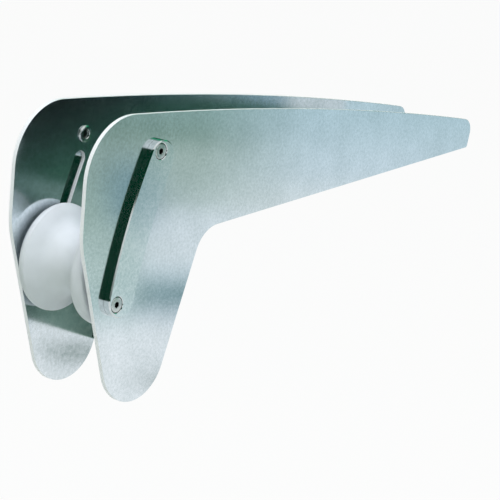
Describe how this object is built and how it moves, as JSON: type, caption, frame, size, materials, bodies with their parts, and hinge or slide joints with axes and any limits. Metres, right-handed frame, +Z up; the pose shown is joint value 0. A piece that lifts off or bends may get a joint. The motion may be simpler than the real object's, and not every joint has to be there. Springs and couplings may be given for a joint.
{
  "type": "bow roller",
  "caption": "Anchor bow roller: tall curved cheek plates, a bolt-down channel floor and a grooved roller whose axle travels in curved side tracks.",
  "frame": {"origin": "on the underside of the floor plate, at the middle of the four deck bolt holes", "axes": "+X runs aft along the floor, away from the roller; +Y to starboard, along the axle; +Z up from the deck"},
  "size_m": [0.458, 0.0766, 0.1987],
  "materials": {
    "sheet_steel": "satin polished sheet",
    "weld_steel": "brushed weld bead",
    "bar_steel": "polished bar",
    "fixing_steel": "bright turned",
    "acetal": "turned, matt",
    "nylon": "turned, satin"
  },
  "bodies": {
    "frame": {"port_cheek": "sheet_steel", "starboard_cheek": "sheet_steel", "floor_plate": "sheet_steel", "port_weld": "weld_steel", "starboard_weld": "weld_steel", "port_guide": "bar_steel", "starboard_guide": "bar_steel", "port_low_screw": "fixing_steel", "port_high_screw": "fixing_steel", "starboard_low_screw": "fixing_steel", "starboard_high_screw": "fixing_steel", "port_low_nut": "fixing_steel", "port_high_nut": "fixing_steel", "starboard_low_nut": "fixing_steel", "starboard_high_nut": "fixing_steel"},
    "axle_carriage": {"axle": "fixing_steel", "port_washer": "acetal", "starboard_washer": "acetal"},
    "roller_body": {"roller": "nylon", "port_bush": "acetal", "starboard_bush": "acetal"}
  },
  "joints": [
    {"name": "axle_travel", "type": "hinge", "parent": "frame", "child": "axle_carriage", "pos_m": [0.13221, 0, -0.14466], "axis": [0, 1, 0], "range_deg": [0, 9.57]},
    {"name": "roller_spin", "type": "hinge", "parent": "axle_carriage", "child": "roller_body", "pos_m": [-0.25325, 0, -0.01401], "axis": [0, 1, 0], "continuous": true}
  ]
}
